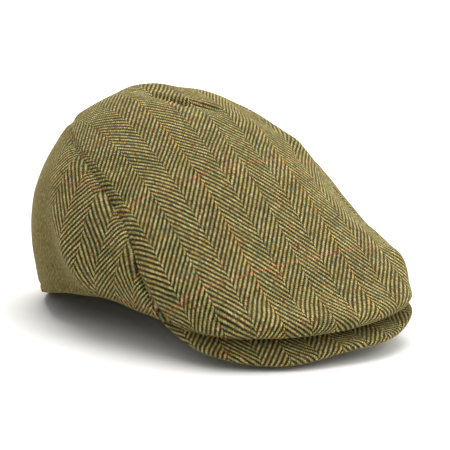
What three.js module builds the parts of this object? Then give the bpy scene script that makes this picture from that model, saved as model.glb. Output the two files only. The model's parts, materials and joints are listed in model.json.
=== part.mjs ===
// Flat cap of tweed: a long top panel, two crescent side panels that meet at centre back,
// and a stiff cloth-covered peak. Millimetres, +Z up, the peak towards -Y, the wearer's right at -X.
// The cap rests on the back of its rim and on the front edge of its peak.
import * as THREE from "three";

// Overall sizes
const CROWN_WIDTH = 194; // widest line of the crown, side to side
const CROWN_BACK = 114; // from the centre of the crown to its back
const CROWN_FRONT = 110; // from the centre of the crown to its rolled front edge
const CROWN_TOP = 142; // height of the top above the surface
const TOP_FALL = 118; // how far the top has dropped above the front edge
const TOP_FALL_POWER = 1.5; // 1 is a straight slope, more keeps the back level

// Head opening and rim
const HEAD_WIDTH = 164;
const HEAD_FRONT = 84; // from the centre of the crown to the front of the head opening
const RIM_LIFT = 21; // how high the rim arches over the ears
const RIM_TUCK = 11; // how far the rim lies inside the widest line, at the most

// Cloth
const WALL = 2.2; // tweed with its lining pressed to it
const SEAM_GAP = 0.3;
const SIDE_PANEL_HEIGHT = 106; // along the cloth at centre back
const SIDE_PANEL_TIP = 1; // height that is left at the root of the peak
const SIDE_PANEL_END = 125; // degrees from centre back

// Peak
const PEAK_REACH = 21; // what shows in front of the crown, at the centre
const PEAK_THICKNESS = 4.6;
const PEAK_DROOP = 25; // degrees that the peak slopes down
const PEAK_START = 122; // degrees from centre back

// Directions at which the cloth is cut into facets
const FACET_TURN = 5;

// Sections of the crown by their direction from its centre, which is the same on both sides.
// turn: degrees from centre back
// out: radius of the widest line as a share of the oval set by the sizes above
// belly: height of the widest line over the rim, as a share of CROWN_TOP
// tuck: share of RIM_TUCK
// lift: share of RIM_LIFT
// full: 2 is an elliptical shoulder, more is squarer
// seam: height of the side panel along the cloth, as a share of SIDE_PANEL_HEIGHT
// reach: share of PEAK_REACH
const SECTIONS = [
  { turn: 0, out: 1.0, belly: 0.34, tuck: 0.55, lift: 0, full: 2.9, seam: 1.0, reach: 0 },
  { turn: 35, out: 1.1, belly: 0.32, tuck: 0.7, lift: 0, full: 2.45, seam: 1.0, reach: 0 },
  { turn: 65, out: 1.1, belly: 0.22, tuck: 0.7, lift: 0.8, full: 2.0, seam: 0.8, reach: 0 },
  { turn: 90, out: 0.99, belly: 0.18, tuck: 1.0, lift: 1.0, full: 1.95, seam: 0.58, reach: 0 },
  { turn: 108, out: 0.95, belly: 0.18, tuck: 0.9, lift: 0.9, full: 2.1, seam: 0.4, reach: 0 },
  { turn: 122, out: 0.975, belly: 0.15, tuck: 0.7, lift: 0.8, full: 2.15, seam: 0.05, reach: 0 },
  { turn: 140, out: 1.035, belly: 0.1, tuck: 0.6, lift: 0.32, full: 2.35, seam: 0, reach: 0.45 },
  { turn: 160, out: 1.0, belly: 0.08, tuck: 0.65, lift: 0.07, full: 2.45, seam: 0, reach: 0.74 },
  { turn: 180, out: 0.97, belly: 0.08, tuck: 0.7, lift: 0, full: 2.5, seam: 0, reach: 0.76 },
];

// Dents and folds of the cloth, each along a straight line between two places near the cloth.
// from, to: x and y as shares of CROWN_WIDTH from the crown's centre, z as a share of CROWN_TOP
// wide: half-width as a share of CROWN_WIDTH
// depth: how far the cloth moves out along its normal, as a share of CROWN_WIDTH; less than 0 is in
const FOLDS = [
  { name: "hollow over the left temple", from: [0.4, 0.1, 0.6], to: [0.38, -0.12, 0.48], wide: 0.12, depth: -0.026 },
  { name: "valley across the top", from: [-0.07, 0.32, 0.87], to: [0.09, 0.08, 0.74], wide: 0.045, depth: -0.014 },
  { name: "roll beside the valley", from: [0.0, 0.34, 0.87], to: [0.14, 0.16, 0.78], wide: 0.05, depth: 0.01 },
  { name: "flat behind the right ear", from: [-0.48, 0.24, 0.45], to: [-0.46, 0.18, 0.1], wide: 0.08, depth: -0.014 },
  { name: "ridge at the right ear", from: [-0.51, 0.1, 0.36], to: [-0.455, 0.01, 0.17], wide: 0.06, depth: 0.012 },
];

const DEGREE = Math.PI / 180;

// A column of the table at any direction, on a smooth curve that is level at the back and the front
function column(name, turn) {
  const folded = turn > 180 ? 360 - turn : turn;
  const last = SECTIONS.length - 1;
  let k = 0;
  while (k < last - 1 && SECTIONS[k + 1].turn <= folded) k += 1;
  const slope = (i) => {
    if (i === 0 || i === last) return 0;
    const a = SECTIONS[i - 1];
    const b = SECTIONS[i + 1];
    return (b[name] - a[name]) / (b.turn - a.turn);
  };
  const from = SECTIONS[k];
  const to = SECTIONS[k + 1];
  const span = to.turn - from.turn;
  const t = (folded - from.turn) / span;
  const value =
    from[name] * (1 + 2 * t) * (1 - t) ** 2 +
    to[name] * t * t * (3 - 2 * t) +
    slope(k) * span * t * (1 - t) ** 2 -
    slope(k + 1) * span * t * t * (1 - t);
  return value;
}

function ovalRadius(turn, halfWidth, back, front) {
  const side = Math.sin(turn * DEGREE);
  const along = Math.cos(turn * DEGREE);
  const length = along > 0 ? back : front;
  return 1 / Math.hypot(side / halfWidth, along / length);
}

function place(turn, radius, z) {
  return new THREE.Vector3(-Math.sin(turn * DEGREE) * radius, Math.cos(turn * DEGREE) * radius, z);
}

// Height that the top cloth would have without its shoulders
function topHeight(y) {
  const share = (CROWN_BACK - y) / (CROWN_BACK + CROWN_FRONT);
  return CROWN_TOP - TOP_FALL * Math.max(share, 0) ** TOP_FALL_POWER;
}

function peakThickness(turn) {
  const folded = turn > 180 ? 360 - turn : turn;
  return PEAK_THICKNESS * THREE.MathUtils.smoothstep(folded, PEAK_START - 12, PEAK_START + 22);
}

function bellyRadius(turn) {
  return column("out", turn) * ovalRadius(turn, CROWN_WIDTH / 2, CROWN_BACK, CROWN_FRONT);
}

function rimRadius(turn) {
  return bellyRadius(turn) - RIM_TUCK * column("tuck", turn);
}

function peakReach(turn) {
  return PEAK_REACH * Math.max(column("reach", turn), 0);
}

// Slope of the rim's edge, which lies level at the back and flat on the peak at the front
function rimSlope(turn) {
  const folded = turn > 180 ? 360 - turn : turn;
  return Math.tan(PEAK_DROOP * DEGREE) * THREE.MathUtils.smoothstep(folded, PEAK_START - 12, PEAK_START);
}

// The rim lies on the surface at the back, and on top of the peak at the front
function rimHeight(turn) {
  const base = RIM_LIFT * Math.max(column("lift", turn), 0);
  const thick = peakThickness(turn);
  const sloping = Math.max(peakReach(turn) - thick / 2, 0);
  return base + thick + sloping * Math.tan(PEAK_DROOP * DEGREE) + (thick > 0 ? SEAM_GAP : 0);
}

// One section of the crown's outside, from the rim over the widest line to the crown's centre
const LOWER_STEPS = 16;
const UPPER_STEPS = 64;
const sectionCache = new Map();
function section(turn) {
  const key = turn.toFixed(4);
  if (sectionCache.has(key)) return sectionCache.get(key);
  const radius = bellyRadius(turn);
  const tuck = radius - rimRadius(turn);
  const rimZ = rimHeight(turn);
  const bellyZ = rimZ + column("belly", turn) * CROWN_TOP;
  const full = column("full", turn);
  const points = [];
  for (let i = 0; i <= LOWER_STEPS; i += 1) {
    const u = i / LOWER_STEPS;
    points.push([radius - tuck * (1 - u) ** 2, rimZ + (bellyZ - rimZ) * u]);
  }
  for (let i = 1; i <= UPPER_STEPS; i += 1) {
    const swing = (i / UPPER_STEPS) * (Math.PI / 2);
    const across = Math.max(Math.cos(swing), 0) ** (2 / full) * radius;
    const y = Math.cos(turn * DEGREE) * across;
    const rise = Math.sin(swing) ** (2 / full);
    points.push([i === UPPER_STEPS ? 0 : across, bellyZ + (topHeight(y) - bellyZ) * rise]);
  }
  const lengths = [0];
  for (let i = 1; i < points.length; i += 1) {
    const step = Math.hypot(points[i][0] - points[i - 1][0], points[i][1] - points[i - 1][1]);
    lengths.push(lengths[i - 1] + step);
  }
  const made = { points, lengths, total: lengths[lengths.length - 1] };
  sectionCache.set(key, made);
  return made;
}

// A point of the crown's smooth outside, by direction and by length along the cloth from the rim
function smoothPoint(turn, length) {
  const { points, lengths, total } = section(turn);
  const wanted = Math.min(Math.max(length, 0), total);
  let k = 1;
  while (k < lengths.length - 1 && lengths[k] < wanted) k += 1;
  const t = (wanted - lengths[k - 1]) / (lengths[k] - lengths[k - 1]);
  const radius = points[k - 1][0] + (points[k][0] - points[k - 1][0]) * t;
  const z = points[k - 1][1] + (points[k][1] - points[k - 1][1]) * t;
  return place(turn, radius, z);
}

function wrapped(turn) {
  return (turn + 360) % 360;
}

// Outward normal of a surface that is given by direction and length along the cloth
const PROBE_TURN = 0.5;
const PROBE_LENGTH = 0.5;
function normalOf(surface, turn, length) {
  const { total } = section(turn);
  if (length > total - 1) return new THREE.Vector3(0, 0, 1);
  const low = Math.max(length - PROBE_LENGTH, 0);
  const high = length + PROBE_LENGTH;
  const up = surface(turn, high).sub(surface(turn, low));
  const side = surface(wrapped(turn + PROBE_TURN), length)
    .sub(surface(wrapped(turn - PROBE_TURN), length));
  return up.cross(side).normalize().negate();
}

const toPlace = ([x, y, z]) => new THREE.Vector3(x * CROWN_WIDTH, y * CROWN_WIDTH, z * CROWN_TOP);
const foldLines = FOLDS.map((fold) => ({ ...fold, line: new THREE.Line3(toPlace(fold.from), toPlace(fold.to)) }));

// How far the folds move the cloth out at a place; the rim keeps its shape
const RIM_HOLD = 20; // length along the cloth over which the folds come in
function foldDepth(point, length) {
  const nearest = new THREE.Vector3();
  let depth = 0;
  for (const { line, wide, depth: most } of foldLines) {
    line.closestPointToPoint(point, true, nearest);
    const share = nearest.distanceTo(point) / (wide * CROWN_WIDTH);
    depth += most * CROWN_WIDTH * Math.exp(-share * share);
  }
  return depth * THREE.MathUtils.smoothstep(length, 0, RIM_HOLD);
}

// A point of the crown's outside with its folds
function crownPoint(turn, length) {
  const point = smoothPoint(turn, length);
  const out = normalOf(smoothPoint, turn, length);
  return point.addScaledVector(out, foldDepth(point, length));
}

// Outer and inner point of the cloth; the rim's edge is level so that it can rest
function clothPoints(turn, length) {
  const outer = crownPoint(turn, length);
  const inward = normalOf(crownPoint, turn, length).negate();
  if (length <= 0) inward.setZ(0).normalize().setZ(rimSlope(turn));
  const inner = outer.clone().addScaledVector(inward, WALL);
  return { outer, inner };
}

// Closes a grid of cloth points into one solid. rows go up from the rim, columns go round.
function clothSolid(rows, columns, pointsAt, { around = false, crest = null } = {}) {
  const positions = [];
  const indices = [];
  const outer = [];
  const inner = [];
  for (let i = 0; i <= rows; i += 1) {
    outer.push([]);
    inner.push([]);
    for (let j = 0; j < columns; j += 1) {
      const pair = pointsAt(i, j);
      outer[i].push(positions.push(pair.outer) - 1);
      inner[i].push(positions.push(pair.inner) - 1);
    }
  }
  const quad = (a, b, c, d) => indices.push(a, c, b, a, d, c);
  const last = around ? columns : columns - 1;
  for (let j = 0; j < last; j += 1) {
    const k = (j + 1) % columns;
    for (let i = 0; i < rows; i += 1) {
      quad(outer[i][j], outer[i + 1][j], outer[i + 1][k], outer[i][k]);
      quad(inner[i][j], inner[i][k], inner[i + 1][k], inner[i + 1][j]);
    }
    quad(outer[0][j], outer[0][k], inner[0][k], inner[0][j]);
    if (!crest) quad(outer[rows][j], inner[rows][j], inner[rows][k], outer[rows][k]);
  }
  if (crest) {
    const tip = positions.push(crest.outer) - 1;
    const tipInside = positions.push(crest.inner) - 1;
    for (let j = 0; j < last; j += 1) {
      const k = (j + 1) % columns;
      indices.push(outer[rows][j], outer[rows][k], tip);
      indices.push(inner[rows][j], tipInside, inner[rows][k]);
    }
  }
  if (!around) {
    for (let i = 0; i < rows; i += 1) {
      const end = columns - 1;
      quad(outer[i][0], inner[i][0], inner[i + 1][0], outer[i + 1][0]);
      quad(outer[i][end], outer[i + 1][end], inner[i + 1][end], inner[i][end]);
    }
  }
  const geometry = new THREE.BufferGeometry().setFromPoints(positions);
  geometry.setIndex(indices);
  return geometry;
}

// Facet directions over the wearer's right, from centre back to centre front
const FACETS = [];
for (let turn = 0; turn <= 180; turn += FACET_TURN) FACETS.push(turn);
const AROUND = [...FACETS, ...FACETS.slice(1, -1).reverse().map((turn) => 360 - turn)];

// Length along the cloth from the rim to the seam, nothing where the top panel reaches the rim
function seamLength(turn) {
  const folded = turn > 180 ? 360 - turn : turn;
  if (folded > SIDE_PANEL_END) return 0;
  return Math.max(SIDE_PANEL_HEIGHT * column("seam", turn), SIDE_PANEL_TIP);
}

// Top panel
const TOP_ROWS = 19;
const TOP_ROW_SPREAD = 1.25; // rows are closer together at the front roll and the seams
function topPanel() {
  const pointsAt = (i, j) => {
    const turn = AROUND[j];
    const start = seamLength(turn) > 0 ? seamLength(turn) + SEAM_GAP / 2 : 0;
    const { total } = section(turn);
    const share = (i / (TOP_ROWS + 1)) ** TOP_ROW_SPREAD;
    return clothPoints(turn, start + (total - start) * share);
  };
  const { total } = section(0);
  const crest = clothPoints(0, total);
  return clothSolid(TOP_ROWS, AROUND.length, pointsAt, { around: true, crest });
}

// Side panels; side is 1 on the wearer's right and -1 on the left
const SIDE_ROWS = 11;
function sidePanel(side) {
  const turns = FACETS.filter((turn) => turn <= SIDE_PANEL_END);
  turns[0] = SEAM_GAP / 2 / CROWN_BACK / DEGREE;
  if (side < 0) turns.reverse();
  const pointsAt = (i, j) => {
    const top = seamLength(turns[j]) - SEAM_GAP / 2;
    return clothPoints(side > 0 ? turns[j] : 360 - turns[j], top * (i / SIDE_ROWS));
  };
  return clothSolid(SIDE_ROWS, turns.length, pointsAt);
}

// Peak: sections of a board that slopes down, with a round front edge
const PEAK_COLUMNS = 48;
const EDGE_STEPS = 4;
function peak() {
  const positions = [];
  const indices = [];
  const slope = Math.tan(PEAK_DROOP * DEGREE);
  const ring = 4 + EDGE_STEPS + 1;
  for (let j = 0; j <= PEAK_COLUMNS; j += 1) {
    const turn = PEAK_START + (360 - 2 * PEAK_START) * (j / PEAK_COLUMNS);
    const thick = peakThickness(turn);
    const rim = rimRadius(turn);
    const edge = rim + peakReach(turn);
    const inside = Math.min(ovalRadius(turn, HEAD_WIDTH / 2, HEAD_FRONT, HEAD_FRONT), rim - 4);
    const topAt = (radius) => rimHeight(turn) - SEAM_GAP - (radius - rim) * slope;
    const middle = edge - thick / 2;
    positions.push(place(turn, inside, topAt(inside)));
    positions.push(place(turn, rim, topAt(rim)));
    for (let i = 0; i <= EDGE_STEPS; i += 1) {
      const swing = Math.PI / 2 - (i / EDGE_STEPS) * Math.PI;
      const radius = middle + (Math.cos(swing) * thick) / 2;
      positions.push(place(turn, radius, topAt(middle) - thick / 2 + (Math.sin(swing) * thick) / 2));
    }
    positions.push(place(turn, rim, topAt(rim) - thick));
    positions.push(place(turn, inside, topAt(inside) - thick));
  }
  for (let j = 0; j < PEAK_COLUMNS; j += 1) {
    for (let i = 0; i < ring; i += 1) {
      const n = (i + 1) % ring;
      const a = j * ring;
      const b = (j + 1) * ring;
      indices.push(a + i, b + n, b + i, a + i, a + n, b + n);
    }
  }
  const end = PEAK_COLUMNS * ring;
  for (let i = 1; i < ring - 1; i += 1) {
    indices.push(0, i + 1, i);
    indices.push(end, end + i, end + i + 1);
  }
  const geometry = new THREE.BufferGeometry().setFromPoints(positions);
  geometry.setIndex(indices);
  return geometry;
}

const tweed = (name) =>
  new THREE.MeshStandardMaterial({ name, color: 0x6b6a3f, roughness: 0.95, metalness: 0 });

const pieces = {
  top_panel: topPanel(),
  side_panel_right: sidePanel(1),
  side_panel_left: sidePanel(-1),
  peak: peak(),
};

const cap = new THREE.Group();
const box = new THREE.Box3();
for (const [name, geometry] of Object.entries(pieces)) {
  geometry.computeVertexNormals();
  geometry.computeBoundingBox();
  box.union(geometry.boundingBox);
  const mesh = new THREE.Mesh(geometry, tweed("tweed"));
  mesh.name = name;
  cap.add(mesh);
}
cap.position.set(-(box.min.x + box.max.x) / 2, -(box.min.y + box.max.y) / 2, -box.min.z);

export default cap;
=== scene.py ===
# %% [markdown]
# # A flat cap of herringbone tweed
# The cap is four pieces of cloth: one long panel over the top, two crescent panels round the
# sides and the back, and a stiff peak. The frame holds their places and sizes, and this script
# gives each of them its fine form and its finish. Every length is in metres, +Z is up, the
# peak points to -Y and the wearer's right is at -X.

# %% Load the frame
import json
import math

import bmesh
import bpy
import numpy as np
from mathutils import Matrix, Vector, noise
from mathutils.kdtree import KDTree

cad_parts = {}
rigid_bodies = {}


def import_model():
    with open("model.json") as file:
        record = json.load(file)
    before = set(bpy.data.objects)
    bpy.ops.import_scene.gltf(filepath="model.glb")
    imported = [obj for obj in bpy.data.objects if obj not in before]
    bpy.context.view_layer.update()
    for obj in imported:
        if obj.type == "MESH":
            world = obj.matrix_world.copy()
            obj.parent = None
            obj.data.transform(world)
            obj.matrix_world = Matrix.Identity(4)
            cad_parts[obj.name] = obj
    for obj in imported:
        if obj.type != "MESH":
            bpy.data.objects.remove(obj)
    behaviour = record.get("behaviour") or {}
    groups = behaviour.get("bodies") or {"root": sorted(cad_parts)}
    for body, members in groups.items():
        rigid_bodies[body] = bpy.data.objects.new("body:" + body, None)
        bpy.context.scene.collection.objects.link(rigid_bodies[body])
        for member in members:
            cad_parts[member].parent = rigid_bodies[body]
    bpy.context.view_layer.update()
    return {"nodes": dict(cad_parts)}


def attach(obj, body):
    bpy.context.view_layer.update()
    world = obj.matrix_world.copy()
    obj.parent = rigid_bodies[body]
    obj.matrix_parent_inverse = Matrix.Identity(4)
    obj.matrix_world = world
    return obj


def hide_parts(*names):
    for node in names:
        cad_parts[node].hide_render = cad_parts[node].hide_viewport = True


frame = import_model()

MM = 0.001

# %% [markdown]
# ## Camera, floor and light
# A product picture of a hat is taken with a long lens from a little above, so that nothing is
# distorted. A lens can be worked out from the scale of the picture: a sensor 36 mm wide that
# shows 450 pixels, at a distance of 1.5 m, with 1.735 pixels to each millimetre.

# %% Camera
CAMERA_TURN = math.radians(-35.5)
CAMERA_RISE = math.radians(13.2)
CAMERA_ROLL = math.radians(2.5)
CAMERA_DISTANCE = 1.5
PIXELS_PER_METRE = 1735
PICTURE_WIDTH = 450
AIM = Vector((-0.0003, 0.0020, 0.0537))

toward = Vector((
    math.sin(CAMERA_TURN) * math.cos(CAMERA_RISE),
    -math.cos(CAMERA_TURN) * math.cos(CAMERA_RISE),
    math.sin(CAMERA_RISE),
))
right = Vector((math.cos(CAMERA_TURN), math.sin(CAMERA_TURN), 0))
up = toward.cross(right)
rolled_right = right * math.cos(CAMERA_ROLL) + up * math.sin(CAMERA_ROLL)
rolled_up = up * math.cos(CAMERA_ROLL) - right * math.sin(CAMERA_ROLL)

lens = bpy.data.cameras.new("camera")
lens.sensor_width = 36
lens.lens = PIXELS_PER_METRE * CAMERA_DISTANCE / PICTURE_WIDTH * lens.sensor_width
camera = bpy.data.objects.new("camera", lens)
turned = Matrix((rolled_right, rolled_up, toward)).transposed().to_4x4()
camera.matrix_world = Matrix.Translation(AIM + toward * CAMERA_DISTANCE) @ turned
bpy.context.scene.collection.objects.link(camera)
bpy.context.scene.camera = camera
print("lens", round(lens.lens, 1), "mm")

# %% Helpers for selecting
def only(piece):
    """Selects one piece alone and makes it the active one."""
    bpy.ops.object.select_all(action="DESELECT")
    piece.select_set(True)
    bpy.context.view_layer.objects.active = piece


def faces_of(piece):
    return len(piece.data.polygons)


def places_and_normals(piece):
    """All vertices' places and normals, one row each."""
    vertices = piece.data.vertices
    places = np.empty(len(vertices) * 3)
    normals = np.empty(len(vertices) * 3)
    vertices.foreach_get("co", places)
    vertices.foreach_get("normal", normals)
    return places.reshape(-1, 3), normals.reshape(-1, 3)


def move_to(piece, places):
    piece.data.vertices.foreach_set("co", places.ravel())
    piece.data.update()


# %% Floor
FLOOR_SIZE = 12
bpy.ops.object.select_all(action="DESELECT")
bpy.ops.mesh.primitive_plane_add(size=FLOOR_SIZE, location=(0, 0, 0))
floor = bpy.context.object
floor.name = "floor"
paper = bpy.data.materials.new("pale_paper")
paper.use_nodes = True
paper_shader = paper.node_tree.nodes["Principled BSDF"]
paper_shader.inputs["Base Color"].default_value = (0.93, 0.93, 0.92, 1)
paper_shader.inputs["Roughness"].default_value = 0.9
floor.data.materials.append(paper)

# %% Light
def softbox(name, place, size, watts, colour):
    """A square lamp that looks at the cap."""
    lamp = bpy.data.lights.new(name, "AREA")
    lamp.shape = "SQUARE"
    lamp.size = size
    lamp.energy = watts
    lamp.color = colour
    lamp_object = bpy.data.objects.new(name, lamp)
    lamp_object.location = place
    lamp_object.rotation_euler = (AIM - Vector(place)).to_track_quat("-Z", "Y").to_euler()
    bpy.context.scene.collection.objects.link(lamp_object)
    return lamp_object


softbox("key_light", (0.6, 0.8, 1.9), 2.2, 66, (1.0, 0.985, 0.96))
softbox("right_light", (1.5, -0.3, 0.9), 1.2, 11, (1.0, 0.98, 0.95))
softbox("front_light", (0.4, -1.6, 1.4), 1.4, 8, (1.0, 1.0, 1.0))
sky = bpy.data.worlds.new("soft_sky")
sky.use_nodes = True
sky.node_tree.nodes["Background"].inputs["Color"].default_value = (1, 1, 1, 1)
sky.node_tree.nodes["Background"].inputs["Strength"].default_value = 0.5
bpy.context.scene.world = sky
bpy.context.scene.view_settings.view_transform = "Standard"

# %% [markdown]
# ## The cloth of the weave
# The tweed is a twill: each lengthwise yarn passes over two crosswise yarns and under two, and
# its neighbour does the same one step further on, so slanting lines appear. A herringbone turns
# the slant round every so many yarns. A picture of the cloth could be stuck on, but the real
# rule is simple, so nodes count the yarns instead and the pattern is sharp at any distance.

# %% Sizes of the weave
END_SPACING = 0.829 * MM
PICK_SPACING = 1.09 * MM
ENDS_IN_COLUMN = 19
TWILL_REPEAT = 4
COLUMNS_TO_ORANGE = 4
PICKS_TO_RED = 66

# %% Node helpers
def put(tree, socket, value):
    """Links a socket to an output, or gives it a plain value."""
    if isinstance(value, bpy.types.NodeSocket):
        tree.links.new(value, socket)
    else:
        socket.default_value = value


def maths(tree, operation, *values):
    node = tree.nodes.new("ShaderNodeMath")
    node.operation = operation
    for socket, value in zip(node.inputs, values):
        put(tree, socket, value)
    return node.outputs[0]


def ramp(tree, factor, low, high, to_low=0.0, to_high=1.0):
    """A smooth step from one value to another."""
    node = tree.nodes.new("ShaderNodeMapRange")
    node.interpolation_type = "SMOOTHSTEP"
    for name, value in (
        ("Value", factor), ("From Min", low), ("From Max", high), ("To Min", to_low), ("To Max", to_high),
    ):
        put(tree, node.inputs[name], value)
    return node.outputs["Result"]


def blend_colours(tree, factor, first, second, mode="MIX"):
    node = tree.nodes.new("ShaderNodeMix")
    node.data_type = "RGBA"
    node.blend_type = mode
    put(tree, node.inputs["Factor"], factor)
    put(tree, node.inputs["A"], first)
    put(tree, node.inputs["B"], second)
    return node.outputs["Result"]


def vector_of(tree, x, y, z=0.0):
    node = tree.nodes.new("ShaderNodeCombineXYZ")
    for socket, value in zip(node.inputs, (x, y, z)):
        put(tree, socket, value)
    return node.outputs[0]


def speckle(tree, vector, scale, detail=2.0, rough=0.5):
    node = tree.nodes.new("ShaderNodeTexNoise")
    put(tree, node.inputs["Vector"], vector)
    node.inputs["Scale"].default_value = scale
    node.inputs["Detail"].default_value = detail
    node.inputs["Roughness"].default_value = rough
    return node


def colour_steps(tree, factor, stops):
    """A colour ramp. stops: place from 0 to 1, and a colour."""
    node = tree.nodes.new("ShaderNodeValToRGB")
    put(tree, node.inputs["Fac"], factor)
    bar = node.color_ramp
    while len(bar.elements) < len(stops):
        bar.elements.new(0.5)
    for element, (place, colour) in zip(bar.elements, stops):
        element.position = place
        element.color = (*colour, 1)
    return node.outputs["Color"]


def group_with(name, inputs, outputs):
    """An empty shader node group with named sockets."""
    tree = bpy.data.node_groups.new(name, "ShaderNodeTree")
    for label, kind in inputs:
        tree.interface.new_socket(label, in_out="INPUT", socket_type=kind)
    for label, kind in outputs:
        tree.interface.new_socket(label, in_out="OUTPUT", socket_type=kind)
    entry = tree.nodes.new("NodeGroupInput")
    leave = tree.nodes.new("NodeGroupOutput")
    return tree, entry, leave


# %% Colours of the yarns, as the eye sees them
def shown(red, green, blue):
    """A colour given in the 0 to 255 of a screen, as the light that it stands for."""
    def light(level):
        share = level / 255
        return share / 12.92 if share <= 0.04045 else ((share + 0.055) / 1.055) ** 2.4
    return (light(red), light(green), light(blue))


PALE_YARNS = [
    (0.00, shown(78, 116, 100)),
    (0.12, shown(112, 136, 104)),
    (0.22, shown(140, 144, 90)),
    (0.36, shown(158, 154, 88)),
    (0.50, shown(176, 168, 102)),
    (0.62, shown(200, 194, 140)),
    (0.70, shown(164, 158, 94)),
    (0.82, shown(176, 146, 72)),
    (0.91, shown(142, 96, 56)),
    (1.00, shown(108, 56, 42)),
]
DARK_YARNS = [
    (0.00, shown(38, 54, 42)),
    (0.20, shown(44, 36, 22)),
    (0.50, shown(60, 42, 24)),
    (0.68, shown(80, 56, 30)),
    (0.82, shown(98, 40, 28)),
    (1.00, shown(102, 104, 70)),
]
ORANGE_YARN = (*shown(216, 152, 54), 1)
RED_YARN = (*shown(156, 40, 46), 1)

# %% Colours mixed in the yarn
UNEVENNESS = 0.95

def yarn_mix(tree, yarn, stretch, along):
    """From 0 to 1: a random step for each stretch of a yarn, and a slow change along it."""
    dice = tree.nodes.new("ShaderNodeTexWhiteNoise")
    dice.noise_dimensions = "2D"
    tree.links.new(vector_of(tree, yarn, stretch), dice.inputs["Vector"])
    slow = maths(tree, "SUBTRACT", speckle(tree, along, 1.9, 3, 0.65).outputs["Fac"], 0.5)
    sudden = maths(tree, "MULTIPLY_ADD", dice.outputs["Value"], 0.72, 0.14)
    return maths(tree, "MULTIPLY_ADD", slow, 1.1, sudden)


# %% The herringbone as a node group
NAP_LEAST = 0.0
NAP_MOST = 0.24
YARN_SWAY = 0.9
FLECK_SHARE = 0.16
FELT_COLOURS = [
    (0.36, shown(42, 34, 15)),
    (0.50, shown(84, 72, 36)),
    (0.64, shown(132, 114, 68)),
]

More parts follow.
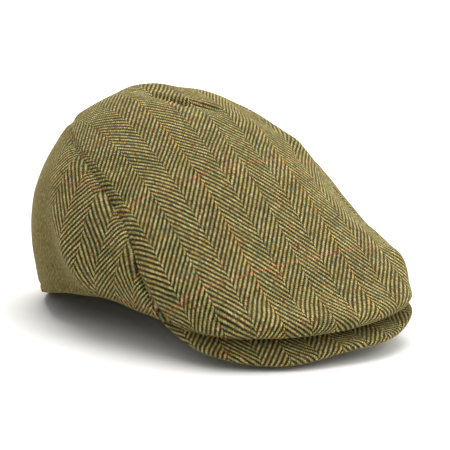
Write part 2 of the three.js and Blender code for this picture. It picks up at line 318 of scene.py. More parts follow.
def herringbone_group():
    tree, entry, leave = group_with(
        "herringbone_tweed",
        [("Cloth", "NodeSocketVector"), ("Felting", "NodeSocketFloat")],
        [("Color", "NodeSocketColor"), ("Height", "NodeSocketFloat"), ("Roughness", "NodeSocketFloat")],
    )
    cloth = entry.outputs["Cloth"]
    split = tree.nodes.new("ShaderNodeSeparateXYZ")
    tree.links.new(cloth, split.inputs[0])

    # Yarns aren't quite straight, so both counts waver a little
    waver = speckle(tree, cloth, 160, 2).outputs["Color"]
    waver_split = tree.nodes.new("ShaderNodeSeparateXYZ")
    tree.links.new(waver, waver_split.inputs[0])
    sway_x = maths(tree, "MULTIPLY", maths(tree, "SUBTRACT", waver_split.outputs[0], 0.5), YARN_SWAY)
    sway_y = maths(tree, "MULTIPLY", maths(tree, "SUBTRACT", waver_split.outputs[1], 0.5), YARN_SWAY)
    ends = maths(tree, "ADD", maths(tree, "DIVIDE", split.outputs[0], END_SPACING), sway_x)
    picks = maths(tree, "ADD", maths(tree, "DIVIDE", split.outputs[1], PICK_SPACING), sway_y)
    end = maths(tree, "FLOOR", ends)
    pick = maths(tree, "FLOOR", picks)
    across_end = maths(tree, "FRACT", ends)
    across_pick = maths(tree, "FRACT", picks)

    # The slant turns round in every second column, with a break of half a repeat
    column = maths(tree, "FLOOR", maths(tree, "DIVIDE", end, ENDS_IN_COLUMN))
    inside = maths(tree, "FLOORED_MODULO", end, ENDS_IN_COLUMN)
    second = maths(tree, "FLOORED_MODULO", column, 2)
    turned_back = maths(tree, "SUBTRACT", ENDS_IN_COLUMN - 1 + TWILL_REPEAT / 2, inside)
    step = maths(tree, "ADD",
                 maths(tree, "MULTIPLY", inside, maths(tree, "SUBTRACT", 1, second)),
                 maths(tree, "MULTIPLY", turned_back, second))
    along = maths(tree, "FLOORED_MODULO", maths(tree, "ADD", picks, step), TWILL_REPEAT)

    # A yarn is round, and a float rises and dips under again
    rise = maths(tree, "MULTIPLY", ramp(tree, along, -0.15, 0.5), ramp(tree, along, 1.5, 2.15, 1.0, 0.0))
    last = ramp(tree, along, 3.85, 4.5, 0.0, 1.0)
    rise = maths(tree, "MAXIMUM", rise, last)
    off_end = maths(tree, "SUBTRACT", maths(tree, "MULTIPLY", across_end, 2), 1)
    off_pick = maths(tree, "SUBTRACT", maths(tree, "MULTIPLY", across_pick, 2), 1)
    round_end = maths(tree, "SUBTRACT", 1, maths(tree, "MULTIPLY", off_end, off_end))
    round_pick = maths(tree, "SUBTRACT", 1, maths(tree, "MULTIPLY", off_pick, off_pick))
    warp_height = maths(tree, "MULTIPLY", rise, maths(tree, "MULTIPLY_ADD", round_end, 0.55, 0.45))
    weft_height = maths(tree, "MULTIPLY_ADD", round_pick, 0.22, 0.18)
    uneven = maths(tree, "SUBTRACT", speckle(tree, cloth, 1150, 2, 0.6).outputs["Fac"], 0.5)
    lead = maths(tree, "SUBTRACT", warp_height, weft_height)
    lead = maths(tree, "MULTIPLY_ADD", uneven, UNEVENNESS, lead)
    over = ramp(tree, lead, -0.10, 0.12)
    height = maths(tree, "MAXIMUM", warp_height, weft_height)

    # Each yarn is spun from wool of mixed colours: some change slowly along it, some at once
    floats = maths(tree, "DIVIDE", maths(tree, "ADD", picks, step), TWILL_REPEAT)
    float_number = maths(tree, "FLOOR", floats)
    half_end = maths(tree, "FLOOR", maths(tree, "DIVIDE", ends, 2))
    warp_mix = yarn_mix(tree, end, float_number, vector_of(tree, maths(tree, "MULTIPLY", end, 0.7),
                                                           maths(tree, "MULTIPLY", picks, 0.22)))
    weft_mix = yarn_mix(tree, half_end, pick, vector_of(tree, maths(tree, "MULTIPLY", ends, 0.22),
                                                        maths(tree, "MULTIPLY", pick, 0.7), 7.0))
    warp_colour = colour_steps(tree, warp_mix, PALE_YARNS)
    weft_colour = colour_steps(tree, weft_mix, DARK_YARNS)

    # The overcheck: an orange end at every fourth column, and a red pick at every 66th
    orange = maths(tree, "LESS_THAN",
                   maths(tree, "FLOORED_MODULO", maths(tree, "ADD", end, 1),
                         ENDS_IN_COLUMN * COLUMNS_TO_ORANGE), 0.5)
    red = maths(tree, "LESS_THAN", maths(tree, "FLOORED_MODULO", pick, PICKS_TO_RED), 0.5)
    warp_colour = blend_colours(tree, orange, warp_colour, ORANGE_YARN)
    weft_colour = blend_colours(tree, red, weft_colour, RED_YARN)
    colour = blend_colours(tree, over, weft_colour, warp_colour)

    # Painted shade: the hollows between the yarns are darkened by their height, and loose fibres, patches
    # and grains vary the tone at random
    fibre = speckle(tree, cloth, 2600, 2).outputs["Fac"]
    patches = speckle(tree, cloth, 55, 3, 0.6).outputs["Fac"]
    grains = speckle(tree, cloth, 1000, 2, 0.6).outputs["Fac"]
    painted_shade_and_tone = ramp(tree, height, 0.1, 0.8, 0.62, 1.06)
    painted_shade_and_tone = maths(tree, "MULTIPLY", painted_shade_and_tone, ramp(tree, fibre, 0.25, 0.75, 0.82, 1.18))
    painted_shade_and_tone = maths(tree, "MULTIPLY", painted_shade_and_tone, ramp(tree, patches, 0.3, 0.7, 0.84, 1.14))
    painted_shade_and_tone = maths(tree, "MULTIPLY", painted_shade_and_tone, ramp(tree, grains, 0.25, 0.75, 0.58, 1.42))
    # The yarn colours are scaled by the painted shade of the hollows and by the random tone
    colour_with_painted_shade = tree.nodes.new("ShaderNodeVectorMath")
    colour_with_painted_shade.operation = "SCALE"
    tree.links.new(colour, colour_with_painted_shade.inputs[0])
    tree.links.new(painted_shade_and_tone, colour_with_painted_shade.inputs["Scale"])

    # Felted cloth: the fibres have closed over the weave, and it shows little
    haze = speckle(tree, cloth, 480, 4, 0.75).outputs["Fac"]
    felt_colour = colour_steps(tree, haze, FELT_COLOURS)
    fleck = ramp(tree, speckle(tree, cloth, 1500, 2, 0.6).outputs["Fac"], 0.3, 0.7)
    felt_colour = blend_colours(tree, FLECK_SHARE, felt_colour, colour_steps(tree, fleck, PALE_YARNS))

    # Everywhere else a thin nap lies over the weave in soft patches
    nap = ramp(tree, speckle(tree, cloth, 90, 4, 0.65).outputs["Fac"], 0.38, 0.72, NAP_LEAST, NAP_MOST)
    felting = maths(tree, "MAXIMUM", entry.outputs["Felting"], nap)
    colour = blend_colours(tree, felting, colour_with_painted_shade.outputs[0], felt_colour)
    flat_height = maths(tree, "MULTIPLY", height, maths(tree, "SUBTRACT", 1, felting))
    height = maths(tree, "ADD", flat_height, maths(tree, "MULTIPLY", fibre, 0.25))
    tree.links.new(colour, leave.inputs["Color"])
    tree.links.new(height, leave.inputs["Height"])
    tree.links.new(ramp(tree, fibre, 0.2, 0.8, 0.82, 0.98), leave.inputs["Roughness"])
    return tree


herringbone = herringbone_group()
print("herringbone nodes", len(herringbone.nodes))

# %% A material from the group
WEAVE_RELIEF = 0.45 * MM
CLOTH_MAP = "cloth"
FELT_SLANT = -0.87
FELT_RAGGED = 14 * MM
FELT_FROM = (-26 * MM, -8 * MM)
FELT_FADES = (-75 * MM, -30 * MM)
FELT_MOST = (0.92, 0.7)

def felted_part(tree):
    """1 behind a slanting line on the cap's sides, where the cloth is felted and plain."""
    place = tree.nodes.new("ShaderNodeTexCoord").outputs["Object"]
    split = tree.nodes.new("ShaderNodeSeparateXYZ")
    tree.links.new(place, split.inputs[0])
    behind = maths(tree, "MULTIPLY_ADD", split.outputs["Z"], FELT_SLANT, split.outputs["Y"])
    ragged = maths(tree, "SUBTRACT", speckle(tree, place, 130, 4, 0.7).outputs["Fac"], 0.5)
    behind = maths(tree, "MULTIPLY_ADD", ragged, FELT_RAGGED, behind)
    most = ramp(tree, split.outputs["X"], *FELT_FADES, *FELT_MOST)
    return maths(tree, "MULTIPLY", ramp(tree, behind, *FELT_FROM), most)


def tweed_material(name, felted=False):
    material = bpy.data.materials.new(name)
    material.use_nodes = True
    tree = material.node_tree
    shader = tree.nodes["Principled BSDF"]
    where = tree.nodes.new("ShaderNodeUVMap")
    where.uv_map = CLOTH_MAP
    weave = tree.nodes.new("ShaderNodeGroup")
    weave.node_tree = herringbone
    tree.links.new(where.outputs["UV"], weave.inputs["Cloth"])
    if felted:
        tree.links.new(felted_part(tree), weave.inputs["Felting"])
    bump = tree.nodes.new("ShaderNodeBump")
    bump.inputs["Strength"].default_value = 1.0
    bump.inputs["Distance"].default_value = WEAVE_RELIEF
    tree.links.new(weave.outputs["Height"], bump.inputs["Height"])
    tree.links.new(bump.outputs["Normal"], shader.inputs["Normal"])
    tree.links.new(weave.outputs["Color"], shader.inputs["Base Color"])
    tree.links.new(weave.outputs["Roughness"], shader.inputs["Roughness"])
    shader.inputs["Specular IOR Level"].default_value = 0.1
    shader.inputs["Sheen Weight"].default_value = 0.45
    shader.inputs["Sheen Roughness"].default_value = 0.45
    shader.inputs["Sheen Tint"].default_value = (0.42, 0.35, 0.17, 1)
    return material


tweed = tweed_material("tweed")
felted_tweed = tweed_material("tweed_felted", felted=True)
peak_tweed = tweed_material("peak_tweed")

# %% [markdown]
# ## The outer skin of a panel
# The frame's panels are closed walls of loose triangles. The outside is all that needs a fine
# form, because a wall can be given its thickness again at the end. So a copy is merged, its
# outer skin is picked by growing a selection over every face that isn't round a sharp corner,
# and the rest is deleted. Where two creased faces are left out, the small hole is filled.

# %% Taking the skin
TOP_SHARP = math.radians(60)
SIDE_SHARP = math.radians(45)
SMALL_HOLE = 8
MERGE = 0.01 * MM

def skin_of(node, name, seed_direction, sharp):
    """The outer skin of a frame node as quads. The seed is the face furthest that way."""
    mesh = frame["nodes"][node].data.copy()
    piece = bpy.data.objects.new(name, mesh)
    bpy.context.scene.collection.objects.link(piece)
    mesh.materials.clear()
    only(piece)
    bpy.ops.object.mode_set(mode="EDIT")
    bpy.ops.mesh.select_mode(type="FACE")
    bpy.ops.mesh.select_all(action="SELECT")
    bpy.ops.mesh.remove_doubles(threshold=MERGE)
    bpy.ops.mesh.normals_make_consistent(inside=False)
    bpy.ops.mesh.select_all(action="DESELECT")
    form = bmesh.from_edit_mesh(mesh)
    seed = max(form.faces, key=lambda face: face.calc_center_median().dot(seed_direction))
    seed.select = True
    form.faces.active = seed
    bmesh.update_edit_mesh(mesh)
    bpy.ops.mesh.faces_select_linked_flat(sharpness=sharp)
    bpy.ops.mesh.select_all(action="INVERT")
    bpy.ops.mesh.delete(type="FACE")
    bpy.ops.mesh.select_all(action="SELECT")
    bpy.ops.mesh.fill_holes(sides=SMALL_HOLE)
    bpy.ops.mesh.select_all(action="SELECT")
    bpy.ops.mesh.tris_convert_to_quads(face_threshold=math.pi, shape_threshold=math.pi)
    bpy.ops.object.mode_set(mode="OBJECT")
    triangles = sum(len(face.vertices) == 3 for face in mesh.polygons)
    print(name, "skin", faces_of(piece), "faces,", triangles, "triangles")
    return piece


top = skin_of("top_panel", "top_cloth", Vector((0, 0, 1)), TOP_SHARP)
side_right = skin_of("side_panel_right", "side_cloth_right", Vector((-1, 0, 0)), SIDE_SHARP)
side_left = skin_of("side_panel_left", "side_cloth_left", Vector((1, 0, 0)), SIDE_SHARP)

# %% [markdown]
# ## Closing the crown's middle
# The frame's top panel ends in a fan of 72 long triangles, which would pinch under a smooth
# surface. Five rings of faces round the middle are deleted, the hole is filled with an even
# grid, and the grid is pressed back onto the form that was there.

# %% The crown's middle
RINGS_OUT = 5
GRID_SPAN = 18
HOLE_REACH = 55 * MM

def copy_of(piece, name):
    """A second object with a mesh of its own."""
    twin = bpy.data.objects.new(name, piece.data.copy())
    bpy.context.scene.collection.objects.link(twin)
    return twin


def press_onto(piece, guide):
    """Moves every vertex of a piece to the nearest place on another surface."""
    only(piece)
    wrap = piece.modifiers.new("press", "SHRINKWRAP")
    wrap.target = guide
    wrap.wrap_method = "NEAREST_SURFACEPOINT"
    bpy.ops.object.modifier_apply(modifier=wrap.name)


def regrid_middle(piece):
    """Replaces the fan of faces at the crown's middle with an even grid."""
    guide = copy_of(piece, "crown_guide")
    only(piece)
    bpy.ops.object.mode_set(mode="EDIT")
    bpy.ops.mesh.select_mode(type="VERT")
    bpy.ops.mesh.select_all(action="DESELECT")
    form = bmesh.from_edit_mesh(piece.data)
    pole = max(form.verts, key=lambda vert: len(vert.link_edges))
    middle = pole.co.copy()
    pole.select = True
    bmesh.update_edit_mesh(piece.data)
    for _ in range(RINGS_OUT):
        bpy.ops.mesh.select_more(use_face_step=True)
    bpy.ops.mesh.delete(type="FACE")
    bpy.ops.mesh.select_mode(type="EDGE")
    bpy.ops.mesh.select_all(action="DESELECT")
    form = bmesh.from_edit_mesh(piece.data)
    for edge in form.edges:
        flat_way = (edge.verts[0].co - middle).xy.length
        edge.select = edge.is_boundary and flat_way < HOLE_REACH
    bmesh.update_edit_mesh(piece.data)
    bpy.ops.mesh.fill_grid(span=GRID_SPAN)
    bpy.ops.object.mode_set(mode="OBJECT")
    press_onto(piece, guide)
    bpy.data.objects.remove(guide)
    print(piece.name, "regridded:", faces_of(piece), "faces")


regrid_middle(top)

# %% [markdown]
# ## Laying the cloth flat
# The pattern has to follow the cloth, so each skin gets a map of where its points lie on the
# flat cloth, in metres. Blender's unwrap with minimum stretch flattens a skin as a cutter's
# pattern would. The flat piece is then scaled to its real area and turned until a chosen
# lengthwise yarn runs straight up.

# %% Flattening
FLATTEN_ROUNDS = 60

def flat_place(mesh, layer, spot):
    """The place on the flat cloth of the vertex that is nearest to a spot."""
    def distance(loop):
        return (mesh.vertices[loop.vertex_index].co - spot).length_squared
    near = min(mesh.loops, key=distance)
    return np.array(layer.uv[near.index].vector)


def lay_flat(piece, low, high, start):
    """Unwraps a skin. low and high lie on one lengthwise yarn, and start is where counts begin."""
    mesh = piece.data
    while mesh.uv_layers:
        mesh.uv_layers.remove(mesh.uv_layers[0])
    mesh.uv_layers.new(name=CLOTH_MAP)
    only(piece)
    bpy.ops.object.mode_set(mode="EDIT")
    bpy.ops.mesh.select_mode(type="FACE")
    bpy.ops.mesh.select_all(action="SELECT")
    bpy.ops.uv.unwrap(method="MINIMUM_STRETCH", iterations=FLATTEN_ROUNDS, fill_holes=False)
    bpy.ops.object.mode_set(mode="OBJECT")
    layer = mesh.uv_layers[CLOTH_MAP]
    flat = np.empty(len(mesh.loops) * 2)
    layer.uv.foreach_get("vector", flat)
    flat = flat.reshape(-1, 2)
    area_on_cap = sum(face.area for face in mesh.polygons)
    area_flat = 0.0
    for face in mesh.polygons:
        x, y = flat[list(face.loop_indices)].T
        area_flat += 0.5 * (np.dot(x, np.roll(y, -1)) - np.dot(y, np.roll(x, -1)))
    flat *= math.sqrt(area_on_cap / abs(area_flat))
    layer.uv.foreach_set("vector", flat.ravel())
    spots = [flat_place(mesh, layer, Vector(spot)) for spot in (low, high, start)]
    line = spots[1] - spots[0]
    upward = line / np.linalg.norm(line)
    sideways = np.array((upward[1], -upward[0]))
    flat = np.stack([(flat - spots[0]) @ sideways, (flat - spots[2]) @ upward], 1)
    print(piece.name, "flat size mm", (np.ptp(flat, axis=0) * 1000).round(), "yarn",
          round(float(np.linalg.norm(line)) * 1000), "mirrored" if area_flat < 0 else "")
    return flat


def write_map(piece, flat):
    piece.data.uv_layers[CLOTH_MAP].uv.foreach_set("vector", np.asarray(flat, np.float32).ravel())


# %% The top panel's cloth
# The crosswise yarns run askew by an eighth, as cloth does when it is pulled over a block, and
# behind the start they lie closer together, because the fold across the top takes cloth up.
SKEW = 0.125
CROWDING = 0.24
CROWDING_REACH = 30 * MM
SHOULDER_DROP = 12 * MM
SHOULDER_FROM = 45 * MM
SHOULDER_WIDTH = 35 * MM
SHOULDER_BEHIND = 20 * MM
SHOULDER_LENGTH = 40 * MM

flat = lay_flat(top, (-0.0297, -0.0938, 0.0317), (-0.0297, 0.0513, 0.1191), (-0.0285, -0.0135, 0.0900))
flat[:, 1] -= SKEW * flat[:, 0]
share = np.clip(flat[:, 1] / CROWDING_REACH, 0, 1)
flat[:, 1] *= 1 + CROWDING * share * share * (3 - 2 * share)
shoulder = np.clip((np.abs(flat[:, 0]) - SHOULDER_FROM) / SHOULDER_WIDTH, 0, 1)
behind = np.clip((flat[:, 1] - SHOULDER_BEHIND) / SHOULDER_LENGTH, 0, 1)
flat[:, 1] -= SHOULDER_DROP * shoulder * behind
write_map(top, flat)

# %% The side panels' cloth
# Near the rim the cloth is eased in, so that its lengthwise yarns keep hanging straight. The map
# is turned half round, because a side panel is cut with the other end of the cloth up.
EASING = 0.5
EASED_BELOW = 37 * MM

for piece, side in ((side_right, -1), (side_left, 1)):
    low = (side * 0.0990, 0.0175, 0.0398)
    high = (side * 0.0774, 0.0318, 0.0903)
    start = (side * 0.0850, 0.0270, 0.0822)
    flat = lay_flat(piece, low, high, start)
    flat[:, 0] -= side * EASING * np.maximum(0, -flat[:, 1] - EASED_BELOW)
    write_map(piece, -flat)

# %% [markdown]
# ## Finer skins and where the seams are
# Catmull-Clark subdivision rounds each skin and splits every face in sixteen. A seam is where
# the edges of two skins meet, so it is found by looking for the neighbour's edge close by, and
# the rows of faces along it are cut finer, to leave room for the cloth to roll in.

# %% Finer skins
FINER_LEVELS = 2
SEAM_REACH = 1.5 * MM
SEAM_CUTS = 2

def make_finer(piece, levels):
    """Subdivides and rounds a piece, with its corners kept."""
    only(piece)
    finer = piece.modifiers.new("finer", "SUBSURF")
    finer.levels = levels
    finer.render_levels = levels
    finer.boundary_smooth = "PRESERVE_CORNERS"
    bpy.ops.object.modifier_apply(modifier=finer.name)


def edge_points(piece):
    """The places of all vertices on the open edges of a skin."""
    form = bmesh.new()
    form.from_mesh(piece.data)
    places = [vert.co.copy() for vert in form.verts if vert.is_boundary]
    form.free()
    return places


def tree_of(places):
    tree = KDTree(len(places))
    for number, place in enumerate(places):
        tree.insert(place, number)
    tree.balance()
    return tree


def meeting(own, others):
    """Own places that have one of the others close by."""
    tree = tree_of(others)
    return [place for place in own if tree.find(place)[2] < SEAM_REACH]


for piece in (top, side_right, side_left):
    make_finer(piece, FINER_LEVELS)
edges = {piece.name: edge_points(piece) for piece in (top, side_right, side_left)}
seams = {}
rims = {}
for name in edges:
    others = [place for other in edges if other != name for place in edges[other]]
    seams[name] = meeting(edges[name], others)
    sewn = tree_of(seams[name])
    rims[name] = [place for place in edges[name] if sewn.find(place)[2] > MERGE]
print("seam points", {name: len(places) for name, places in seams.items()})

# %% More rows along the edges
ROWS_REACH = 3.4 * MM
CROSSWISE = 0.7

def cut_along_edges(piece):
    """Cuts the edges that lead away from the open edge, so that rows of faces run along it."""
    tree = tree_of(edges[piece.name])
    only(piece)
    bpy.ops.object.mode_set(mode="EDIT")
    bpy.ops.mesh.select_mode(type="EDGE")
    bpy.ops.mesh.select_all(action="DESELECT")
    form = bmesh.from_edit_mesh(piece.data)
    away = {vert: tree.find(vert.co)[2] for vert in form.verts}
    for edge in form.edges:
        near, far = sorted(away[vert] for vert in edge.verts)
        edge.select = near < ROWS_REACH and far - near > CROSSWISE * edge.calc_length()
    bmesh.update_edit_mesh(piece.data)
    bpy.ops.mesh.subdivide(number_cuts=SEAM_CUTS)
    bpy.ops.object.mode_set(mode="OBJECT")
    print(piece.name, faces_of(piece), "faces")


for piece in (top, side_right, side_left):
    cut_along_edges(piece)

# %% Partners across the seams
def seam_partners(panels):
    """For each panel: pairs of its edge vertex and the (panel, vertex) that it is sewn to."""
    edge_verts = {}
    for piece in panels:
        form = bmesh.new()
        form.from_mesh(piece.data)
        edge_verts[piece.name] = [vert.index for vert in form.verts if vert.is_boundary]
        form.free()
    found = {}
    for piece in panels:
        rest = [other for other in panels if other is not piece]
        others = [(other, index) for other in rest for index in edge_verts[other.name]]
        tree = tree_of([other.data.vertices[index].co for other, index in others])
        pairs = []
        for index in edge_verts[piece.name]:
            _, number, distance = tree.find(piece.data.vertices[index].co)
            if distance < SEAM_REACH:
                pairs.append((index, *others[number]))
        found[piece.name] = pairs
    return found


partners = seam_partners((top, side_right, side_left))
print("sewn vertices", {name: len(pairs) for name, pairs in partners.items()})

# %% [markdown]
# ## Folds, puckers and rolled edges
# Cloth is never as smooth as its pattern. Each vertex moves a little along its normal, by rules
# that add up: it dips into a seam and swells beside it, it puckers where stitches draw it in,
# it follows a few named folds, and it wavers softly all over.

# %% Rules for the cloth's form
ROLL_DEPTH = 1.5 * MM
ROLL_WIDTH = 1.7 * MM
SWELL = 0.4 * MM
SWELL_AT = 6 * MM
SWELL_WIDTH = 3 * MM
GROOVE_AT = 2.7 * MM
GROOVE_WIDTH = 0.55 * MM
GROOVE_DEPTH = 0.6 * MM
HEM_AT = 4.2 * MM
HEM_WIDTH = 0.9 * MM
HEM_DEPTH = 0.6 * MM
SIDE_GROOVE_LEVEL = 84 * MM
SIDE_GROOVE_FADE = 10 * MM
PUCKER = 0.9 * MM
PUCKER_LENGTH = 9 * MM
PUCKER_REACH = 7 * MM
WAVES = ((1.0 * MM, 42 * MM), (0.35 * MM, 15 * MM))

# The wearer's left seam is calmer, and the roll ends above the rim at the back
CALM = 0.55
CALM_ROLL = 0.6
CALM_ACROSS = (0, 40 * MM)
ROLL_END = 9 * MM
AT_BACK = (50 * MM, 70 * MM)

# The wearer's right rim hangs lower, in a window of height and of length
RIM_DROP = 3.0 * MM
DROP_HEIGHT = (34 * MM, 14 * MM)
DROP_FROM = (-2 * MM, 24 * MM)
DROP_TO = (68 * MM, 48 * MM)

# name, from, to, half-width, depth: more than 0 is out
FOLDS = [
    ("valley across the top", (-0.0140, 0.0600, 0.1210), (-0.0025, 0.0445, 0.1185), 0.0026, -0.0018),
    ("valley, its flat end", (-0.0025, 0.0445, 0.1185), (0.0125, 0.0335, 0.1155), 0.0026, -0.0015),
    ("filled end of the valley", (0.0080, 0.0260, 0.1120), (0.0210, 0.0140, 0.1050), 0.0085, 0.0020),
    ("roll behind the valley", (-0.0112, 0.0640, 0.1225), (0.0005, 0.0485, 0.1205), 0.0034, 0.0008),
    ("roll, its flat end", (0.0005, 0.0485, 0.1205), (0.0160, 0.0375, 0.1180), 0.0034, 0.0006),
    ("lower roll", (0.000, 0.066, 0.1235), (0.027, 0.031, 0.1108), 0.0080, -0.0014),
    ("flatter far temple", (0.078, -0.056, 0.057), (0.074, -0.022, 0.075), 0.0180, -0.0026),
    ("fuller edge of the far temple", (0.0800, -0.0500, 0.0440), (0.0765, -0.0620, 0.0390), 0.0090, 0.0010),
    ("flatter far side", (0.084, -0.020, 0.056), (0.088, 0.010, 0.067), 0.0150, -0.0018),
    ("fuller far shoulder", (0.067, 0.004, 0.090), (0.060, 0.014, 0.096), 0.0110, 0.0030),
    ("flatter far crown", (0.045, 0.027, 0.109), (0.034, 0.036, 0.115), 0.0120, -0.0030),
    ("flatter far crown, behind", (0.063, 0.048, 0.104), (0.050, 0.054, 0.112), 0.0140, -0.0032),
    ("flatter far back", (0.042, 0.060, 0.116), (0.016, 0.078, 0.122), 0.0140, -0.0016),
    ("fuller near back", (0.000, 0.079, 0.1225), (-0.012, 0.081, 0.1220), 0.0110, 0.0016),
    ("flatter back of the crown", (0.026, 0.044, 0.119), (0.002, 0.066, 0.124), 0.0130, -0.0017),
    ("flatter near shoulder", (-0.045, 0.075, 0.117), (-0.072, 0.065, 0.100), 0.0180, -0.0013),
    ("flatter ear", (-0.100, 0.035, 0.085), (-0.1025, 0.030, 0.045), 0.0200, -0.0012),
    ("bump over the peak's far end", (0.081, -0.077, 0.040), (0.080, -0.066, 0.046), 0.0100, 0.0044),
    ("ridge behind the ear", (-0.095, 0.040, 0.063), (-0.101, 0.015, 0.047), 0.0070, 0.0010),
    ("ridge below the ear", (-0.101, 0.015, 0.047), (-0.092, 0.007, 0.027), 0.0060, 0.0012),
    ("hollow behind the ridge", (-0.096, 0.034, 0.045), (-0.094, 0.024, 0.024), 0.0110, -0.0022),
    ("pucker at the seam, upper", (-0.0810, 0.0105, 0.0800), (-0.0740, 0.0060, 0.0830), 0.0030, -0.0016),
    ("pucker at the seam, middle", (-0.0808, -0.0010, 0.0745), (-0.0735, -0.0050, 0.0770), 0.0028, -0.0014),
    ("pucker at the seam, lower", (-0.0810, -0.0100, 0.0690), (-0.0735, -0.0120, 0.0725), 0.0028, -0.0014),
]


def line_distance(places, start, end):
    """Distances of many places to a straight stretch."""
    start = np.array(start)
    way = np.array(end) - start
    share = np.clip(((places - start) @ way) / (way @ way), 0, 1)
    return np.linalg.norm(places - start - share[:, None] * way, axis=1)


def smooth_step(values, low, high):
    share = np.clip((values - low) / (high - low), 0, 1)
    return share * share * (3 - 2 * share)


def shape_cloth(piece):
    """Moves each vertex along its normal by the sum of the rules above."""
    places, normals = places_and_normals(piece)
    tree = tree_of(seams[piece.name])
    from_seam = np.array([tree.find(place)[2] for place in places])
    lively = 1 - CALM * smooth_step(places[:, 0], *CALM_ACROSS)
    roll = ROLL_DEPTH * np.exp(-((from_seam / ROLL_WIDTH) ** 2))
    if piece is not top:
        rim_tree = tree_of(rims[piece.name])
        from_rim = np.array([rim_tree.find(place)[2] for place in places])
        at_back = smooth_step(places[:, 1], *AT_BACK)
        roll *= 1 - at_back * smooth_step(from_rim, ROLL_END, 0)
    move = -roll * (1 - CALM_ROLL + CALM_ROLL * lively)
    move += SWELL * np.exp(-(((from_seam - SWELL_AT) / SWELL_WIDTH) ** 2))
    groove = GROOVE_DEPTH * np.exp(-(((from_seam - GROOVE_AT) / GROOVE_WIDTH) ** 2))
    if piece is not top:
        groove *= smooth_step(places[:, 2], SIDE_GROOVE_LEVEL - SIDE_GROOVE_FADE, SIDE_GROOVE_LEVEL)
    move -= groove
    pucker = np.array([noise.noise(Vector(place) / PUCKER_LENGTH) for place in places])
    move += PUCKER * pucker * np.exp(-from_seam / PUCKER_REACH) * lively
    for depth, length in WAVES:
        wave = np.array([noise.noise(Vector(place) / length + Vector((3, 7, 1))) for place in places])
        move += depth * wave
    for _, start, end, half_width, depth in FOLDS:
        share = line_distance(places, start, end) / half_width
        move += depth * np.exp(-share * share)
    if piece is not top:
        move -= HEM_DEPTH * np.exp(-(((from_rim - HEM_AT) / HEM_WIDTH) ** 2))
    places += normals * move[:, None]
    if piece is side_right:
        low = smooth_step(places[:, 2], *DROP_HEIGHT)
        window = smooth_step(places[:, 1], *DROP_FROM) * smooth_step(places[:, 1], *DROP_TO)
        places[:, 2] -= RIM_DROP * low * window
    places[:, 2] = np.maximum(places[:, 2], 0)
    move_to(piece, places)
    print(piece.name, "moved by mm", (np.array((move.min(), move.max())) * 1000).round(1))


for piece in (top, side_right, side_left):
    shape_cloth(piece)

# %% The brow: the crown's front edge turns under where it meets the peak
BROW_FORWARD = 4.4 * MM
BROW_FORWARD_FROM = (1.6 * MM, 5.6 * MM)
BROW_FORWARD_TO = (22 * MM, 9 * MM)
BROW_LIFT = 1.0 * MM
BROW_LIFT_REACH = 6 * MM
BROW_ENDS = (78 * MM, 62 * MM)
FAR_LIFT = 6.8 * MM
FAR_LIFT_ACROSS = (-50 * MM, 16 * MM)
CORNER_LIFT = 3.0 * MM
CORNER_LIFT_ACROSS = (42 * MM, 74 * MM)
ROOT_SHARE = 0.45
ROOT_REACH = 26 * MM
LEAST_LEVEL = 0.01

def far_lift(across):
    """How much the wearer's left half of the peak is bent up, for places across the cap."""
    rise = FAR_LIFT * smooth_step(across, *FAR_LIFT_ACROSS)
    return rise + CORNER_LIFT * smooth_step(across, *CORNER_LIFT_ACROSS)


def turn_under(piece):
    """Rolls the crown's front edge over the peak, and lifts it where the peak is bent up."""
    places, normals = places_and_normals(piece)
    level = normals * np.array((1, 1, 0))
    level /= np.maximum(np.linalg.norm(level, axis=1), LEAST_LEVEL)[:, None]
    tree = tree_of(brow_edge)
    away = np.array([tree.find(place)[2] for place in places])
    if piece is top:
        ends = smooth_step(np.abs(places[:, 0]), *BROW_ENDS)
        forward = smooth_step(away, *BROW_FORWARD_FROM) * smooth_step(away, *BROW_FORWARD_TO)
        places += level * (BROW_FORWARD * forward * ends)[:, None]
        places[:, 2] += BROW_LIFT * smooth_step(away, BROW_LIFT_REACH, 0) * ends
    places[:, 2] += far_lift(places[:, 0]) * ROOT_SHARE * smooth_step(away, ROOT_REACH, 0)
    move_to(piece, places)


brow_edge = [place for place in edge_points(top) if place.y < -50 * MM and place.z < 30 * MM]
print("brow edge", len(brow_edge), "points")
for piece in (top, side_right, side_left):
    turn_under(piece)

# %% Sewing the seams shut
def sew(panels):
    """Moves each sewn vertex half way to its partner, so that no light comes through."""
    moved = []
    for piece in panels:
        for index, other, partner in partners[piece.name]:
            here = piece.data.vertices[index].co.copy()
            there = other.data.vertices[partner].co.copy()
            moved.append((piece, index, here.lerp(there, 0.5), (there - here).length))
    for piece, index, place, _ in moved:
        piece.data.vertices[index].co = place
    print("widest opening closed, mm", round(max(gap for *_, gap in moved) * 1000, 2))


sew((top, side_right, side_left))

# %% [markdown]
# ## Topstitching
# The seam is stitched down beside its edge. A path is walked along the seam's vertices, pushed
# sideways by the width of the margin, pressed onto the cloth, and a short length of thread is
# laid at every step. All of the threads are one mesh.

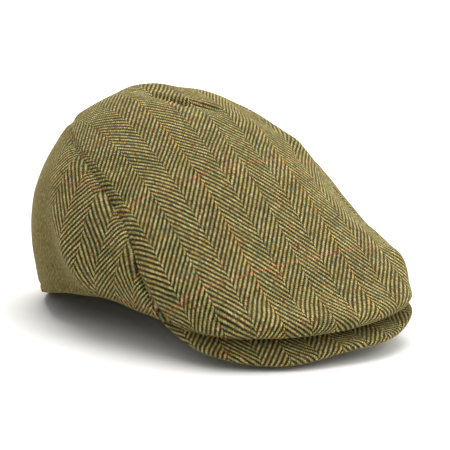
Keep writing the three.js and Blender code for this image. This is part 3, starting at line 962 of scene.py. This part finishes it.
# %% The path of a seam
def seam_path(piece):
    """The vertices of the open edge in order, as (place, normal, way into the cloth)."""
    form = bmesh.new()
    form.from_mesh(piece.data)
    form.normal_update()
    start = next(vert for vert in form.verts if vert.is_boundary)
    path = [start]
    before = None
    while True:
        here = path[-1]
        steps = [edge for edge in here.link_edges if edge.is_boundary and edge is not before]
        before = steps[0]
        following = before.other_vert(here)
        if following is start or len(path) > len(form.verts):
            break
        path.append(following)
    found = []
    for number, vert in enumerate(path):
        along = path[(number + 1) % len(path)].co - path[number - 1].co
        inward = vert.normal.cross(along).normalized()
        centres = [face.calc_center_median() for face in vert.link_faces]
        middle = sum(centres, Vector()) / len(centres)
        if inward.dot(middle - vert.co) < 0:
            inward = -inward
        found.append((vert.co.copy(), vert.normal.copy(), inward))
    form.free()
    return found


# %% Threads
STITCH_STEP = 2.9 * MM
STITCH_LENGTH = 2.3 * MM
THREAD_RADIUS = 0.27 * MM
THREAD_SUNK = 0.02 * MM
THREAD_SIDES = 6
THREAD_RINGS = 5
SEWN_REACH = 5 * MM

def lay_threads(form, piece, path, keep):
    """Adds one thread for each step along the path, where keep(place) is true."""
    tree = tree_of(seams[piece.name])
    walked = 0.0
    spots = []
    for (place, _, inward), (following, _, _) in zip(path, path[1:]):
        length = (following - place).length
        while walked < length:
            spot = place.lerp(following, walked / max(length, 1e-9))
            if keep(spot) and tree.find(spot)[2] < SEWN_REACH:
                hit, near, normal, _ = piece.closest_point_on_mesh(spot + inward * GROOVE_AT)
                if hit:
                    spots.append((near, normal, (following - place).normalized()))
            walked += STITCH_STEP
        walked -= length
    for near, normal, along in spots:
        side = along.cross(normal).normalized()
        turn = Matrix((side, normal, along)).transposed().to_4x4()
        stretch = Matrix.Diagonal((THREAD_RADIUS, THREAD_RADIUS, STITCH_LENGTH / 2, 1))
        place = Matrix.Translation(near - normal * THREAD_SUNK)
        bmesh.ops.create_uvsphere(
            form, u_segments=THREAD_SIDES, v_segments=THREAD_RINGS, radius=1, matrix=place @ turn @ stretch,
        )
    return len(spots)


form = bmesh.new()
laid = lay_threads(form, top, seam_path(top), lambda place: True)
for piece in (side_right, side_left):
    laid += lay_threads(form, piece, seam_path(piece), lambda place: place.z > SIDE_GROOVE_LEVEL)
thread_mesh = bpy.data.meshes.new("topstitching")
form.to_mesh(thread_mesh)
form.free()
thread = bpy.data.objects.new("topstitching", thread_mesh)
bpy.context.scene.collection.objects.link(thread)
only(thread)
bpy.ops.object.shade_smooth()
print(laid, "stitches,", faces_of(thread), "faces")

# %% The thread's material
THREAD_COLOURS = [(0.3, shown(52, 46, 28)), (0.7, shown(104, 94, 58))]

def thread_material():
    material = bpy.data.materials.new("thread")
    material.use_nodes = True
    tree = material.node_tree
    shader = tree.nodes["Principled BSDF"]
    place = tree.nodes.new("ShaderNodeTexCoord").outputs["Object"]
    twist = speckle(tree, place, 1500, 2, 0.6).outputs["Fac"]
    tree.links.new(colour_steps(tree, twist, THREAD_COLOURS), shader.inputs["Base Color"])
    shader.inputs["Roughness"].default_value = 0.7
    shader.inputs["Specular IOR Level"].default_value = 0.2
    return material


thread.data.materials.append(thread_material())
print("materials", [material.name for material in bpy.data.materials])

# %% Giving the cloth its thickness
CLOTH_WALL = 2.0 * MM

def thicken(piece):
    """Gives a skin its wall, on the inside."""
    only(piece)
    wall = piece.modifiers.new("wall", "SOLIDIFY")
    wall.thickness = CLOTH_WALL
    wall.offset = -1
    wall.use_even_offset = False
    bpy.ops.object.modifier_apply(modifier=wall.name)
    bpy.ops.object.shade_smooth()
    print(piece.name, faces_of(piece) * 2, "triangles")


for piece in (top, side_right, side_left):
    thicken(piece)

# %% [markdown]
# ## The peak
# The peak is a stiff board with cloth drawn over it. It keeps the frame's solid, merged and
# rounded by subdivision, and the cloth is laid flat on it with a cut along the lower edge,
# where the underside's cloth is sewn on.

# %% Peak
PEAK_LEVELS = 3
FACES_DOWN = -0.5

def peak_form():
    """The frame's peak, merged, with a cut marked where its upper cloth ends."""
    mesh = frame["nodes"]["peak"].data.copy()
    piece = bpy.data.objects.new("peak_cloth", mesh)
    bpy.context.scene.collection.objects.link(piece)
    mesh.materials.clear()
    only(piece)
    bpy.ops.object.mode_set(mode="EDIT")
    bpy.ops.mesh.select_mode(type="FACE")
    bpy.ops.mesh.select_all(action="SELECT")
    bpy.ops.mesh.remove_doubles(threshold=MERGE)
    bpy.ops.mesh.normals_make_consistent(inside=False)
    bpy.ops.mesh.tris_convert_to_quads(face_threshold=math.pi, shape_threshold=math.pi)
    bpy.ops.mesh.select_all(action="DESELECT")
    form = bmesh.from_edit_mesh(mesh)
    for edge in form.edges:
        levels = [face.normal.z for face in edge.link_faces]
        edge.seam = min(levels) < FACES_DOWN <= max(levels)
    bmesh.update_edit_mesh(mesh)
    bpy.ops.object.mode_set(mode="OBJECT")
    return piece


peak = peak_form()
flat = lay_flat(peak, (0.0010, -0.1090, 0.0072), (0.0010, -0.1000, 0.0112), (0.0010, -0.1000, 0.0112))
flat[:, 1] += PICKS_TO_RED / 2 * PICK_SPACING
write_map(peak, flat)
make_finer(peak, PEAK_LEVELS)

# %% The peak's own form
PEAK_BACK = 1.2 * MM
PEAK_BACK_FROM = (4 * MM, 24 * MM)
PEAK_BEND = (0, 16 * MM)

def shape_peak(piece):
    """The wearer's left half is bent up, and the front lies a little further back."""
    places, _ = places_and_normals(piece)
    tree = tree_of(brow_edge)
    away = np.array([tree.find(place)[2] for place in places])
    places[:, 1] += PEAK_BACK * smooth_step(away, *PEAK_BACK_FROM)
    out = smooth_step(away, *PEAK_BEND)
    places[:, 2] += far_lift(places[:, 0]) * (ROOT_SHARE + (1 - ROOT_SHARE) * out)
    move_to(piece, places)


shape_peak(peak)
only(peak)
bpy.ops.object.shade_smooth()
print("peak", faces_of(peak) * 2, "triangles")

# %% [markdown]
# ## Each piece, its body and its finish
# Every piece stands for one solid of the frame and moves with it. The cap has no joints, so
# there is only one body.

# %% Placing the pieces in the frame
for piece, node, material, slot in (
    (top, "top_panel", tweed, "tweed"),
    (side_right, "side_panel_right", felted_tweed, "tweed"),
    (side_left, "side_panel_left", felted_tweed, "tweed"),
    (peak, "peak", peak_tweed, "peak_tweed"),
):
    piece.data.materials.append(material)
    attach(piece, "root")
    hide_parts(node)

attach(thread, "root")
